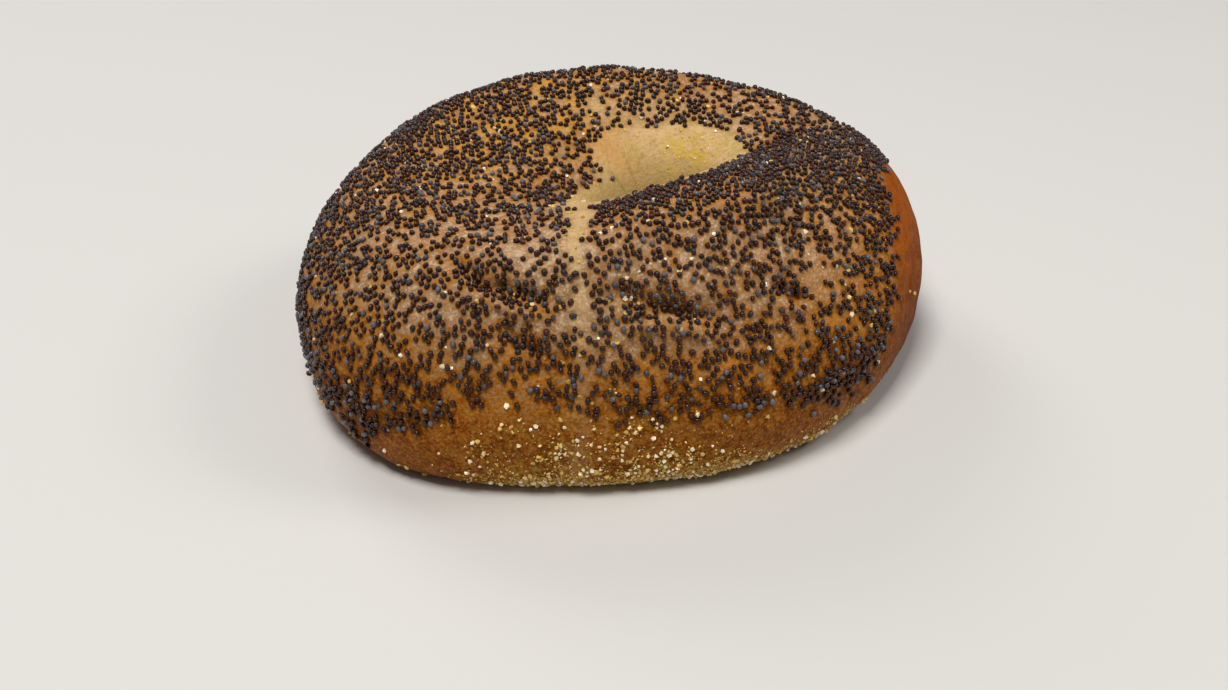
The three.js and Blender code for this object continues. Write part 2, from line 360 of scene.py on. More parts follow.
BROWNING = 0.27
BROWNER_AREAS = ((FRONT_FACE, -0.11), (NEAR_RIM, 0.07), (BESIDE_SEAM, -0.12), (RIGHT_TOP, -0.1))
# Painted shade in the creases: the crust is darker where the skin is pressed in.
PAINTED_CREASE_SHADE = 0.08
BROWNER_BELOW, BROWNER_HEIGHTS = 0.55, (33.0, 8.0)
GOLD = 0.12
GOLD_AREAS = ((GOLDEN_LEFT, 0.6), (GOLDEN_RIGHT, 0.4))
WARM_RIGHT_SHARE = 0.7
PALE_RIM_SHARE = 0.5
SEAM_PALENESS = 0.22
SEAM_PALENESS_STEPS = (Step(0.62, 30, 56), Step(0.12, 72, 100))
SEAM_SHARPNESS_STEPS = (Step(1.3, 92, 72),)  # below the crown its edges are sharper
SEAM_EVENNESS, UNEVENNESS = 0.9, 0.5
HOLLOW_PAINTED_SHADE_SECTIONS = (132.0, 158.0)  # the section angles over which painted shade, with a more olive tint, deepens down the hole

SEEDING = 0.66
DENSER_AREAS = (
    (NEAR_RIM, 0.34),
    (RIGHT_TOP, 0.34),
    (RIGHT_SIDE, -0.32),
    (BACK_LEFT, 0.42),
    (LEFT_TOP, -0.26),
    (HOLLOW_BACK, 0.3),
    (HOLLOW_CORNER, -0.5),
    (LOW_FRONT, -0.07),
)
DENSER_CREASES = 0.14
DENSER_FRONT, DENSER_FRONT_SECTIONS = Rise(270, 75, 0.1, 4), (95.0, 60.0)
CLUMP_NOISE, CLUMP_STRENGTH = Noise(3.4, 2, 7), 0.2
SEEDING_SHARE = 0.9  # of all that the seeding comes to before the crowded places
CROWDED_AREAS = ((RIGHT_END, 0.25), (RIGHT_BACK, 0.1))
END_EDGE = Rise(BARE_END_AROUND, 36, 0.3, 4)  # seeds crowd along the edge of the bare end
END_EDGE_HEIGHT, END_EDGE_HALF = 2.5, 3.0  # of that crowd, above the seed line
SEED_EDGE_SOFTNESS = 1.8
SEAM_BARENESS_STEPS = (Step(0.75, 14, 45), Step(0.23, 60, 88))

# Narrow places where seeds crowd together. Their depth is how much denser the seeds lie.
CROWDED_FOLDS = (
    Fold(312.5, 42.5, 4.5, 2.8, -0.4, 0.7),
    Fold(246, 54, 9, 3.0, -0.8, 0.4),
)

# Smooth lips beside the right pit that seeds don't cling to. Their depth is how bare they are.
BARE_LIPS = (
    Fold(315, 36.4, 5.5, 2.4, -0.2, 1.0),
    Fold(320.0, 39.5, 2.4, 3.8, 0.0, 1.0),
)
BARE_LIP_SHARE = 0.9

# Single seeds in the hollow: each one's direction and section angle, and how far from there it
# may lie.
STRAY_SEEDS = (
    (91, 134, 2.4),
    (143, 141, 3.2),
    (150, 144, 3.2),
    (156, 143, 3.2),
    (152, 149, 3.2),
    (165, 148, 3.2),
)
STRAY_SLENDERNESS = 0.75

# Coarse meal clings in a band along the front. Its upper edge is lower on both sides.
MEAL_UPPER_EDGE = 8.0
MEAL_UPPER_STEPS = (Step(-32, 276, 304), Step(-60, 252, 232))
MEAL_UPPER_SOFTNESS = (-3.0, 16.0)
MEAL_LOWER_SECTIONS = (-100.0, -80.0)
MEAL_FRONT = Rise(286, 48, 1, 6)
MEAL_RIGHT_OF_SEAM = Rise(278, 12, 0.5, 2)
MEAL_TUFT_NOISE, MEAL_TUFT_RANGE = Noise(3.0, 2, 9), (-0.35, 0.45)
# It is thickest along the edge by the base, which grows narrower towards the right.
BASE_EDGE_SECTION, BASE_EDGE_HALF = -46.0, 24.0
BASE_EDGE_STEPS = (Step(-8.0, 290, 308),)
BASE_EDGE_FRONT = Rise(290, 42, 1, 6)
# The underside lies at both ends of the section angle: its middle, and how far from there the
# meal sets in and is full.
MEAL_UNDER = ((270.0, 60.0, 25.0), (-90.0, 26.0, 12.0))
STAIN_NOISE, STAIN_RANGE, STAIN_STRENGTH = Noise(2.4, 3, 10), (-0.15, 0.35), 0.75

# How densely each kind of meal lies in each place.
MEAL_SHARES = {
    "gritting": {"right_tufts": 0.75, "edge": 0.34, "anywhere": 0.02, "under": 0.16},
    "fine_meal": {"tufts": 0.22, "edge": 0.95, "patch": 0.1, "under": 0.12},
    "dusting": {"band": 0.12, "edge": 0.9, "patch": 1.0, "under": 0.3, "back": 0.35},
}


def within(area, around, section):
    """1 in the middle of an area of the skin, fading out towards its edges."""
    along = bell(turn_between(area.around, around), area.half_around, area.power_around)
    return along * bell(section - area.section, area.half_section, area.power_section)


def summed(shares, skin):
    """The sum of areas of the skin, each times its own share."""
    return sum(share * within(area, skin.around, skin.section) for area, share in shares)


def read_skin(around, section, points):
    """What the crust's fields share: its places, and how uneven, bare and creased they are."""
    uneven = noise_field(points, UNEVEN_NOISE)
    creased = pressed_in(DENTS, around, section) + pressed_in(CREASES, around, section)
    seam_edge = seam(around + RAGGED_SEAM * uneven, section)
    return Skin(
        around=around,
        section=section,
        points=points,
        uneven=uneven,
        end=bare_end(around, points),
        creased=np.clip(creased, 0.0, 2.0),
        seam=seam_edge ** stepped(section, 1.0, SEAM_SHARPNESS_STEPS),
    )


def baking_fields(skin):
    """Where the crust is browned, with painted shade in its creases, and where it is pale, warm and
    golden.
    """
    around, section, uneven = skin.around, skin.section, skin.uneven
    seam_paleness = stepped(section, SEAM_PALENESS, SEAM_PALENESS_STEPS) * skin.seam
    seam_paleness = seam_paleness * (SEAM_EVENNESS + UNEVENNESS * uneven)
    pale_hollow = hollow(around, section + RAGGED_HOLLOW * uneven)
    pale_rim = within(PALE_RIM, around, section) * (1.0 + UNEVENNESS * uneven)
    warmth = within(WARM_HOLLOW, around, section)
    warmth += WARM_RIGHT_SHARE * within(WARM_RIGHT, around, section) * (1.0 - skin.end)
    # The browning, with painted shade that darkens the creases.
    browning = BROWNING + summed(BROWNER_AREAS, skin) + PAINTED_CREASE_SHADE * skin.creased
    browning += BROWNER_BELOW * ramp(skin.points[..., 2], *BROWNER_HEIGHTS)
    return {
        "browning": browning,
        "paleness": np.maximum.reduce([pale_hollow, seam_paleness, PALE_RIM_SHARE * pale_rim]),
        "bare_end": skin.end,
        # Painted shade deep in the hole.
        "hollow_depth": ramp(section, *HOLLOW_PAINTED_SHADE_SECTIONS),
        "warmth": warmth * np.clip(1.0 + UNEVENNESS * uneven, 0.0, 1.0),
        "gold": GOLD + summed(GOLD_AREAS, skin),
    }


def seeding_field(skin):
    """How densely poppy seeds lie, from 0 to 1."""
    around, section, points = skin.around, skin.section, skin.points
    seeding = SEEDING + summed(DENSER_AREAS, skin) + DENSER_CREASES * skin.creased
    seeding += risen(around, 0.0, (DENSER_FRONT,)) * ramp(section, *DENSER_FRONT_SECTIONS)
    seeding *= SEEDING_SHARE * (1.0 + CLUMP_STRENGTH * noise_field(points, CLUMP_NOISE))

    over_line = points[..., 2] - seed_line(around, points)
    seeding += risen(around, 0.0, (END_EDGE,)) * bell(over_line - END_EDGE_HEIGHT, END_EDGE_HALF)
    seeding += summed(CROWDED_AREAS, skin) + pressed_in(CROWDED_FOLDS, around, section)
    bare_lips = np.clip(pressed_in(BARE_LIPS, around, section), 0.0, 1.0)
    seeding *= 1.0 - BARE_LIP_SHARE * bare_lips
    seeding *= 1.0 - stepped(section, 0.0, SEAM_BARENESS_STEPS) * skin.seam
    seeding *= seeded_part(around, section, points, SEED_EDGE_SOFTNESS, skin.uneven)
    for stray_around, stray_section, reach in STRAY_SEEDS:
        spot = Area(stray_around, reach, stray_section, STRAY_SLENDERNESS * reach)
        seeding = np.maximum(seeding, within(spot, around, section))
    return seeding


def meal_fields(skin):
    """Where coarse and fine meal cling and where they dust and stain the skin."""
    around, section, points = skin.around, skin.section, skin.points
    upper_edge = stepped(around, MEAL_UPPER_EDGE, MEAL_UPPER_STEPS)
    band = ramp(upper_edge - section + RAGGED_MEAL * skin.uneven, *MEAL_UPPER_SOFTNESS)
    band *= risen(around, 0.0, (MEAL_FRONT,)) * ramp(section, *MEAL_LOWER_SECTIONS)
    tufts = band * ramp(noise_field(points, MEAL_TUFT_NOISE), *MEAL_TUFT_RANGE)
    edge = bell(section - BASE_EDGE_SECTION, stepped(around, BASE_EDGE_HALF, BASE_EDGE_STEPS))
    patch = within(MEAL_PATCH, around, section)
    under = sum(ramp(np.abs(section - middle), out, full) for middle, out, full in MEAL_UNDER)
    places = {
        "band": band,
        "tufts": tufts,
        "right_tufts": tufts * risen(around, 0.5, (MEAL_RIGHT_OF_SEAM,)),
        "edge": edge * risen(around, 0.0, (BASE_EDGE_FRONT,)),
        "patch": patch,
        "under": np.clip(under, 0.0, 1.0),
        "back": within(MEAL_BACK, around, section),
        "anywhere": 1.0 - skin.end,
    }
    fields = {
        name: sum(share * places[place] for place, share in shares.items())
        for name, shares in MEAL_SHARES.items()
    }
    stained = ramp(noise_field(points, STAIN_NOISE), *STAIN_RANGE)
    return {**fields, "stain": STAIN_STRENGTH * patch * stained}


def crust_fields(around, section, points):
    """Everything that the crust's finish and the toppings read from its points, from 0 to 1."""
    skin = read_skin(around, section, points)
    fields = {**baking_fields(skin), "seeding": seeding_field(skin), **meal_fields(skin)}
    return {name: np.clip(values, 0.0, 1.0) for name, values in fields.items()}


# --------------------------------------------------------------------------------------------------
# The crust's mesh
# --------------------------------------------------------------------------------------------------

SHOWN_SECTIONS = (-35.0, 150.0)  # the section angles of the top and the sides
SHOWN_CLOSENESS = 1.5  # how much shorter the mesh's steps are there
FINE_STEPS = 1080
BASE_LIFT = 0.3  # mean gap between the uneven underside and the surface it lies on
BASE_UNEVENNESS, BASE_NOISE = 0.6, Noise(11.0, 3, 4)
LUMP_NOISE = Noise(11.0, 2, 1)
BLISTER_NOISE = Noise(2.6, 2, 2)
STREAK_NOISE = Noise(1.0, 2, 3)
STREAK_STRETCH = (0.14, 0.12, 0.05)  # of the turn, the section angle and the height
WAVER, WAVER_NOISE = 2.0, Noise(5.0, 2, 8)  # how far the creases stray, in degrees
SEED_ROOM_SOFTNESS = 3.0
HOLLOW_SMOOTHNESS, END_SMOOTHNESS = 0.6, 0.4


def even_sections(around, count):
    """For each direction, section angles with even steps along the skin, shorter where it shows."""
    fine = np.linspace(-90.0, 270.0, FINE_STEPS + 1)
    grid_around, grid_section = np.meshgrid(around, fine, indexing="ij")
    points = skin_points(grid_around, grid_section)
    points[..., 2] = np.maximum(points[..., 2], 0.0)
    lengths = np.linalg.norm(np.diff(points, axis=1), axis=-1)
    halfway = (fine[1:] + fine[:-1]) / 2
    shown = (halfway > SHOWN_SECTIONS[0]) & (halfway < SHOWN_SECTIONS[1])
    weighted = lengths * np.where(shown, SHOWN_CLOSENESS, 1.0)
    along = np.concatenate([np.zeros((len(around), 1)), np.cumsum(weighted, axis=1)], axis=1)
    shares = np.arange(count) / count
    return np.stack([np.interp(shares * row[-1], row, fine) for row in along])


def grid_normals(points):
    """Outward normals of a closed grid of points that runs round the ring and the section."""
    along_ring = np.roll(points, -1, 0) - np.roll(points, 1, 0)
    along_section = np.roll(points, -1, 1) - np.roll(points, 1, 1)
    normals = np.cross(along_ring, along_section)
    return normals / np.maximum(np.linalg.norm(normals, axis=-1, keepdims=True), 1e-12)


def skin_relief(around, section, points, settings):
    """How far the skin stands proud of the plain ring: lumps, blisters, creases and streaks."""
    end = bare_end(around, points)
    smooth = np.maximum(hollow(around, section) * HOLLOW_SMOOTHNESS, end * END_SMOOTHNESS)
    lumps = noise_field(points, LUMP_NOISE) * settings.lump_height / MM
    blisters = noise_field(points, BLISTER_NOISE) * settings.blister_height / MM
    angles = np.stack([turn_between(0.0, around), section, points[..., 2]], -1)
    stretched = angles * np.array(STREAK_STRETCH)
    streaks = noise_field(stretched, STREAK_NOISE) * settings.streak_height / MM
    waver = WAVER * noise_field(points, WAVER_NOISE)
    creases = pressed_in(CREASES, around + waver, section + waver)
    room = settings.seed_room / MM * seeded_part(around, section, points, SEED_ROOM_SOFTNESS)
    return (lumps + blisters) * (1 - smooth) + streaks * end - creases - room


def underside(points):
    """The underside's height above the surface it lies on: uneven, and 0 where it touches."""
    flat = points * np.array([1.0, 1.0, 0.0])
    return np.maximum(BASE_LIFT + BASE_UNEVENNESS * noise_field(flat, BASE_NOISE), 0.0)


def add_fields(mesh, fields):
    """Stores each field as a number on the mesh's points."""
    for name, values in fields.items():
        stored = mesh.attributes.new(name, "FLOAT", "POINT")
        stored.data.foreach_set("value", values.astype(np.float32).ravel())


def ring_faces(steps_around, steps_section):
    """The four-sided faces of a closed grid, wound so that they point outwards."""
    i, j = np.meshgrid(np.arange(steps_around), np.arange(steps_section), indexing="ij")
    next_i, next_j = (i + 1) % steps_around, (j + 1) % steps_section
    corners = [(i, j), (next_i, j), (next_i, next_j), (i, next_j)]
    return np.stack([a * steps_section + b for a, b in corners], -1).reshape(-1, 4)


def crust_mesh(settings):
    """The dough ring's skin with its relief and its fields."""
    turns = np.arange(settings.steps_around) * 360.0 / settings.steps_around
    section = even_sections(turns, settings.steps_section)
    around = np.broadcast_to(turns[:, None], section.shape)
    points = skin_points(around, section)
    normals = grid_normals(points)
    proud = skin_relief(around, section, points, settings)
    points = points + normals * proud[..., None]
    points[..., 2] = np.maximum(points[..., 2], underside(points))

    mesh = bpy.data.meshes.new("bagel_crust")
    faces = ring_faces(*section.shape)
    mesh.from_pydata((points.reshape(-1, 3) * MM).tolist(), [], faces.tolist())
    mesh.shade_smooth()
    add_fields(mesh, crust_fields(around, section, points))
    mesh.update()
    return mesh


# --------------------------------------------------------------------------------------------------
# Materials
# --------------------------------------------------------------------------------------------------

# Noise that shades a finish: low where it is at or below the start, high from the end on.
Spots = namedtuple(
    "Spots",
    "size detail roughness start end low high stretch distortion",
    defaults=(0.0, 1.0, (1.0, 1.0, 1.0), 0.0),
)

PATCHES = Spots(9.0, 3.0, 0.6, 0.3, 0.7, -0.05, 0.05)
MOTTLE = Spots(1.8, 3.0, 0.65, 0.35, 0.65, -0.07, 0.07)
FIBRES = Spots(0.9, 3.0, 0.6, 0.35, 0.65, -0.07, 0.07, (1.0, 0.35, 0.6))
GRAIN = Spots(0.4, 2.0, 0.6, 0.35, 0.65, -0.14, 0.14)
PIMPLE_SIZE, PIMPLE_EDGES, PIMPLE_STRENGTH = 0.62, (0.15, 0.5), 0.16
ORANGE_PATCHES = Spots(3.0, 4.0, 0.7, 0.5, 0.62)
ROSY_SPOTS = Spots(1.3, 3.0, 0.65, 0.5, 0.62)
GOLD_SPOTS = Spots(2.2, 3.0, 0.65, 0.49, 0.57)
MEAL_SPECKS = Spots(1.4, 4.0, 0.75, 0.48, 0.62)

END_MARKS = Spots(1.3, 4.0, 0.65, 0.35, 0.65, -0.26, 0.26, (1.0, 0.35, 0.5))
END_BLOTCHES = Spots(6.0, 3.0, 0.6, 0.35, 0.65, -0.2, 0.2)
END_ORANGE_HEIGHTS, END_ORANGE_SHARES = (8.0, 28.0), (0.15, 0.95)

OLIVE_PATCHES = Spots(3.0, 5.0, 0.65, 0.4, 0.66)
PORES = Spots(0.9, 4.0, 0.75, 0.5, 0.66, 0.0, 0.6)
WRINKLES = Spots(4.0, 4.0, 0.6, 0.0, 0.02, 0.5, 0.0, (1.0, 0.6, 0.6), 0.8)

# How a finish follows a value: from where to where, and what it comes to at each end.
PITTING_BY_BROWNING = (0.2, 0.6, 0.75, 1.0)
# Painted shade round the seeds: the crust is darker near a seed and a little lighter in the open.
PAINTED_SHADE_BY_SEEDS = (0.0, 1.0, -0.07, 0.18)
LEAST_SHADE = (0.3, 0.6, 0.0, 0.42)
ORANGE_SETS_IN = (0.18, 0.42, 0.15, 0.65)
ORANGE_FADES = (0.5, 0.66, 1.0, 0.15)
ROSY_FADES = (0.2, 0.55, 0.35, 0.0)
ROUGHNESS_BY_MOTTLE = (0.3, 0.7, 0.36, 0.5)
COARSENESS_BY_PALENESS = (0.0, 1.0, 1.0, 0.3)
BLOOM_BY_RIDGES = (0.0, 1.0, 0.12, 0.0)
WARM_ORANGE = 0.8

# The gloss of each finish, and how much duller the bare end is.
CRUST_SPECULAR, END_ROUGHNESS = 0.06, 0.25
SEED_ROUGHNESS, SEED_SPECULAR = 0.11, 0.3
MEAL_ROUGHNESS, MEAL_SPECULAR = 0.28, 0.7
FLOOR_ROUGHNESS, FLOOR_SPECULAR = 0.7, 0.2

# Depths of the fine relief, in millimetres, and how strongly the smallest kinds show.
MOTTLE_DEPTH, FIBRE_DEPTH, PIMPLE_DEPTH, GRAIN_DEPTH = 0.4, 0.25, 0.14, 0.12
SEED_NET_SIZE, SEED_NET_EDGES = 0.14, (0.02, 0.2)
SEED_NET_DEPTH, SEED_NET_STRENGTH = 0.01, 0.5
MEAL_GRAIN_DEPTH, MEAL_GRAIN_STRENGTH = 0.03, 0.7
SEED_SHEEN_HEIGHTS, PAINTED_SEED_SHEEN = (10.0, 24.0), 0.08  # painted sheen: seeds low down are tinted paler and bluer, towards the bloom
MEAL_GRAIN = Spots(0.3, 2.0, 0.5, 0.4, 0.7, 0.0, 0.2)


class NodeBench:
    """A material's node tree, with short calls for the nodes that the finishes share."""

    def __init__(self, name):
        self.material = bpy.data.materials.new(name)
        self.material.use_nodes = True
        self.tree = self.material.node_tree
        self.shader = self.tree.nodes["Principled BSDF"]
        self.place = self.add("ShaderNodeTexCoord").outputs["Object"]

    def add(self, kind, **values):
        """Adds a node with its settings."""
        node = self.tree.nodes.new(kind)
        for name, value in values.items():
            setattr(node, name, value)
        return node

    def feed(self, socket, value):
        """Links a socket to another one, or sets its value."""
        if isinstance(value, bpy.types.NodeSocket):
            self.tree.links.new(value, socket)
        else:
            socket.default_value = value

    def calculate(self, operation, first, second=0.0, clamp=False):
        """One step of arithmetic."""
        node = self.add("ShaderNodeMath", operation=operation, use_clamp=clamp)
        self.feed(node.inputs[0], first)
        self.feed(node.inputs[1], second)
        return node.outputs[0]

    def total(self, first, *others):
        """The sum of two or more values."""
        for other in others:
            first = self.calculate("ADD", first, other)
        return first

    def times(self, first, *others):
        """The product of two or more values."""
        for other in others:
            first = self.calculate("MULTIPLY", first, other)
        return first

    def field(self, name):
        """A number that is stored on the mesh's points."""
        return self.add("ShaderNodeAttribute", attribute_name=name).outputs["Fac"]

    def height(self):
        """The height above the base in metres."""
        parts = self.add("ShaderNodeSeparateXYZ")
        self.feed(parts.inputs[0], self.place)
        return parts.outputs["Z"]

    def noise(self, spots):
        """The spots' own noise, from 0 to 1."""
        mapping = self.add("ShaderNodeMapping")
        mapping.inputs["Scale"].default_value = spots.stretch
        self.feed(mapping.inputs["Vector"], self.place)
        node = self.add("ShaderNodeTexNoise")
        self.feed(node.inputs["Vector"], mapping.outputs["Vector"])
        node.inputs["Scale"].default_value = 1.0 / (spots.size * MM)
        node.inputs["Detail"].default_value = spots.detail
        node.inputs["Roughness"].default_value = spots.roughness
        node.inputs["Distortion"].default_value = spots.distortion
        return node.outputs["Fac"]

    def spread(self, spots, noise=None):
        """The spots' noise, or another one, graded from their low to their high value."""
        if noise is None:
            noise = self.noise(spots)
        return self.between(noise, spots.start, spots.end, spots.low, spots.high)

    def cells(self, size, feature):
        """The distance from the middles or the edges of cells of about that size."""
        node = self.add("ShaderNodeTexVoronoi", feature=feature)
        self.feed(node.inputs["Vector"], self.place)
        node.inputs["Scale"].default_value = 1.0 / (size * MM)
        return node.outputs["Distance"]

    def between(self, value, start, end, low=0.0, high=1.0):
        """Maps start..end to low..high, smoothly and within them."""
        node = self.add("ShaderNodeMapRange", interpolation_type="SMOOTHSTEP", clamp=True)
        self.feed(node.inputs["Value"], value)
        ends = (("From Min", start), ("From Max", end), ("To Min", low), ("To Max", high))
        for name, number in ends:
            node.inputs[name].default_value = number
        return node.outputs["Result"]

    def gradient(self, value, stops):
        """A colour ramp through (place, colour) stops."""
        node = self.add("ShaderNodeValToRGB")
        elements = node.color_ramp.elements
        while len(elements) < len(stops):
            elements.new(1.0)
        for element, (position, colour) in zip(elements, stops):
            element.position = position
            element.color = (*colour, 1.0)
        self.feed(node.inputs["Fac"], value)
        return node.outputs["Color"]

    def blend(self, share, first, second):
        """Blends two colours."""
        node = self.add("ShaderNodeMix", data_type="RGBA")
        self.feed(node.inputs[0], share)
        for socket, colour in ((node.inputs[6], first), (node.inputs[7], second)):
            given = isinstance(colour, bpy.types.NodeSocket)
            self.feed(socket, colour if given else (*colour, 1.0))
        return node.outputs[2]

    def bump(self, height, distance, strength=1.0, under=None):
        """Fine relief on top of what lies under it. The distance is in millimetres."""
        node = self.add("ShaderNodeBump")
        node.inputs["Strength"].default_value = strength
        node.inputs["Distance"].default_value = distance * MM
        self.feed(node.inputs["Height"], height)
        if under is not None:
            self.feed(node.inputs["Normal"], under)
        return node.outputs["Normal"]

    def finish(self, colour, roughness, normal=None, specular=0.5):
        """Feeds the shader and gives the finished material."""
        self.feed(self.shader.inputs["Base Color"], colour)
        self.feed(self.shader.inputs["Roughness"], roughness)
        self.shader.inputs["Specular IOR Level"].default_value = specular
        if normal is not None:
            self.feed(self.shader.inputs["Normal"], normal)
        return self.material


def crust_finish(settings):
    """Baked dough skin: golden to reddish brown, mottled, pale in the hollow and the seam, with
    painted shade round the seeds, in the creases and deep in the hole.
    """
    bench = NodeBench("baked_crust")
    mottle, fibres, grain = bench.noise(MOTTLE), bench.noise(FIBRES), bench.noise(GRAIN)
    pimples = bench.cells(PIMPLE_SIZE, "SMOOTH_F1")
    pitted = bench.between(pimples, *PIMPLE_EDGES, -PIMPLE_STRENGTH, PIMPLE_STRENGTH)
    pitted = bench.total(pitted, bench.spread(GRAIN, grain))
    # browning is the crust's browning with painted shade in its creases
    browning, paleness, end = map(bench.field, ("browning", "paleness", "bare_end"))

    shade = bench.total(
        browning, bench.spread(PATCHES), bench.spread(MOTTLE, mottle), bench.spread(FIBRES, fibres)
    )
    shade = bench.total(
        shade,
        bench.times(pitted, bench.between(browning, *PITTING_BY_BROWNING)),
        # painted shade round the seeds
        bench.between(bench.field("seed_nearness"), *PAINTED_SHADE_BY_SEEDS),
    )
    least_shade = bench.between(browning, *LEAST_SHADE)
    shade = bench.calculate("MAXIMUM", shade, least_shade, clamp=True)
    colour = baked_colour(bench, settings, shade, browning)
    colour = bench.blend(end, colour, end_colour(bench, settings, pitted))
    colour = bench.blend(paleness, colour, pale_colour(bench, settings))
    dusted = bench.times(bench.field("dusting"), bench.spread(MEAL_SPECKS))
    dusted = bench.calculate("MAXIMUM", dusted, bench.field("stain"), clamp=True)
    colour = bench.blend(dusted, colour, settings.dust_colour)

    roughness = bench.between(mottle, *ROUGHNESS_BY_MOTTLE)
    roughness = bench.total(roughness, bench.times(end, END_ROUGHNESS))
    coarse = bench.between(paleness, *COARSENESS_BY_PALENESS)
    skin = bench.bump(bench.times(mottle, coarse), MOTTLE_DEPTH)
    skin = bench.bump(bench.times(fibres, coarse), FIBRE_DEPTH, under=skin)
    skin = bench.bump(bench.calculate("SUBTRACT", 1.0, pimples), PIMPLE_DEPTH, under=skin)
    skin = bench.bump(bench.times(grain, coarse), GRAIN_DEPTH, under=skin)
    return bench.finish(colour, roughness, skin, CRUST_SPECULAR)


def baked_colour(bench, settings, shade, browning):
    """The baked crust's colour at each shade, with orange and gold patches and rosy spots."""
    stops = (
        (0.0, settings.light_colour),
        (0.26, settings.tan_colour),
        (0.56, settings.golden_colour),
        (0.82, settings.brown_colour),
        (1.0, settings.dark_colour),
    )
    colour = bench.gradient(shade, stops)
    orange = bench.times(
        bench.spread(ORANGE_PATCHES),
        bench.between(browning, *ORANGE_SETS_IN),
        bench.between(browning, *ORANGE_FADES),
    )
    warm = bench.times(bench.field("warmth"), WARM_ORANGE)
    orange = bench.calculate("MAXIMUM", orange, warm)
    colour = bench.blend(orange, colour, settings.orange_colour)
    rosy = bench.times(bench.spread(ROSY_SPOTS), bench.between(browning, *ROSY_FADES))
    colour = bench.blend(rosy, colour, settings.rosy_colour)
    gold = bench.times(bench.spread(GOLD_SPOTS), bench.field("gold"))
    return bench.blend(gold, colour, settings.gold_colour)


def end_colour(bench, settings, pitted):
    """The bare end's colour: reddish brown with faint stretch marks, and orange higher up."""
    low, high = (height * MM for height in END_ORANGE_HEIGHTS)
    share = bench.between(bench.height(), low, high, *END_ORANGE_SHARES)
    share = bench.total(share, bench.spread(END_MARKS), bench.spread(END_BLOTCHES))
    share = bench.calculate("SUBTRACT", share, pitted, clamp=True)
    return bench.blend(share, settings.red_end_colour, settings.orange_end_colour)


def pale_colour(bench, settings):
    """The pale skin's colour: cream to olive, with painted shade and a more olive tint deep down,
    and with pores and wrinkles.
    """
    olive = bench.spread(OLIVE_PATCHES)
    pale = bench.blend(olive, settings.hollow_colour, settings.hollow_shade_colour)
    # Painted shade deep in the hole, with a more olive tint.
    pale = bench.blend(bench.field("hollow_depth"), pale, settings.painted_hole_shade_colour)
    pale = bench.blend(bench.field("warmth"), pale, settings.warm_colour)
    pale = bench.blend(bench.spread(PORES), pale, settings.pore_colour)
    from_middle = bench.calculate("SUBTRACT", bench.noise(WRINKLES), 0.5)
    from_line = bench.calculate("ABSOLUTE", from_middle)
    return bench.blend(bench.spread(WRINKLES, from_line), pale, settings.pore_colour)


def seed_finish(settings):
    """Poppy seed coats: blue-black to purplish brown, with a fine net of ridges, a bloom and a
    painted sheen low down.
    """
    bench = NodeBench("poppy_seed_coat")
    low, high = (height * MM for height in SEED_SHEEN_HEIGHTS)
    # Painted sheen: seeds low down are tinted towards the bloom.
    painted_sheen = bench.between(bench.height(), low, high, PAINTED_SEED_SHEEN, 0.0)
    tint = bench.calculate("ADD", bench.field("tint"), painted_sheen, clamp=True)
    stops = (
        (0.0, settings.maroon_colour),
        (0.2, settings.black_colour),
        (0.5, settings.black_colour),
        (0.68, settings.purple_colour),
        (0.84, settings.blue_colour),
        (1.0, settings.bloom_colour),
    )
    colour = bench.gradient(tint, stops)
    ridges = bench.between(bench.cells(SEED_NET_SIZE, "DISTANCE_TO_EDGE"), *SEED_NET_EDGES)
    colour = bench.blend(bench.between(ridges, *BLOOM_BY_RIDGES), colour, settings.bloom_colour)
    net = bench.bump(ridges, SEED_NET_DEPTH, SEED_NET_STRENGTH)
    return bench.finish(colour, SEED_ROUGHNESS, net, SEED_SPECULAR)


def meal_finish(settings):
    """Cornmeal: cream to amber, slightly glassy grains."""
    bench = NodeBench("cornmeal")
    stops = (
        (0.35, settings.cream_colour),
        (0.55, settings.yellow_colour),
        (1.0, settings.amber_colour),
    )
    colour = bench.gradient(bench.field("tint"), stops)
    grain = bench.noise(MEAL_GRAIN)
    colour = bench.blend(bench.spread(MEAL_GRAIN, grain), colour, settings.cream_colour)
    rough = bench.bump(grain, MEAL_GRAIN_DEPTH, MEAL_GRAIN_STRENGTH)
    return bench.finish(colour, MEAL_ROUGHNESS, rough, MEAL_SPECULAR)


# --------------------------------------------------------------------------------------------------
# Toppings
# --------------------------------------------------------------------------------------------------

SeedKind = namedtuple("SeedKind", "name notch shares")  # the shares are of the common seed's size
Grain = namedtuple("Grain", "name field sides rings least_tint stream")

SEED_KINDS = (
    SeedKind("seed_plain", 0.1, (1.0, 1.0, 1.0)),
    SeedKind("seed_kidney", 0.24, (1.06, 0.96, 1.0)),
    SeedKind("seed_round", 0.14, (0.92, 1.0, 1.06)),
)
SEED_SIDES = 7
SEED_RINGS = ((0.76, 0.62), (0.94, -0.32))  # each ring's reach and level, in half seeds
SEED_POINTS = 1 + len(SEED_RINGS) * SEED_SIDES
NOTCH_SIDE, NOTCH_HALF = 90.0, 45.0  # where the notch lies, and how wide it is, in degrees
PAINTED_SEED_SHADE_REACH = (1.3, 0.55)  # how far from a seed's middle its painted shade on the skin ends and is full
SEED_TILT = math.radians(30)
SEED_SIZES = (0.8, 1.06)  # the smallest and the largest seed, as shares of its kind's size

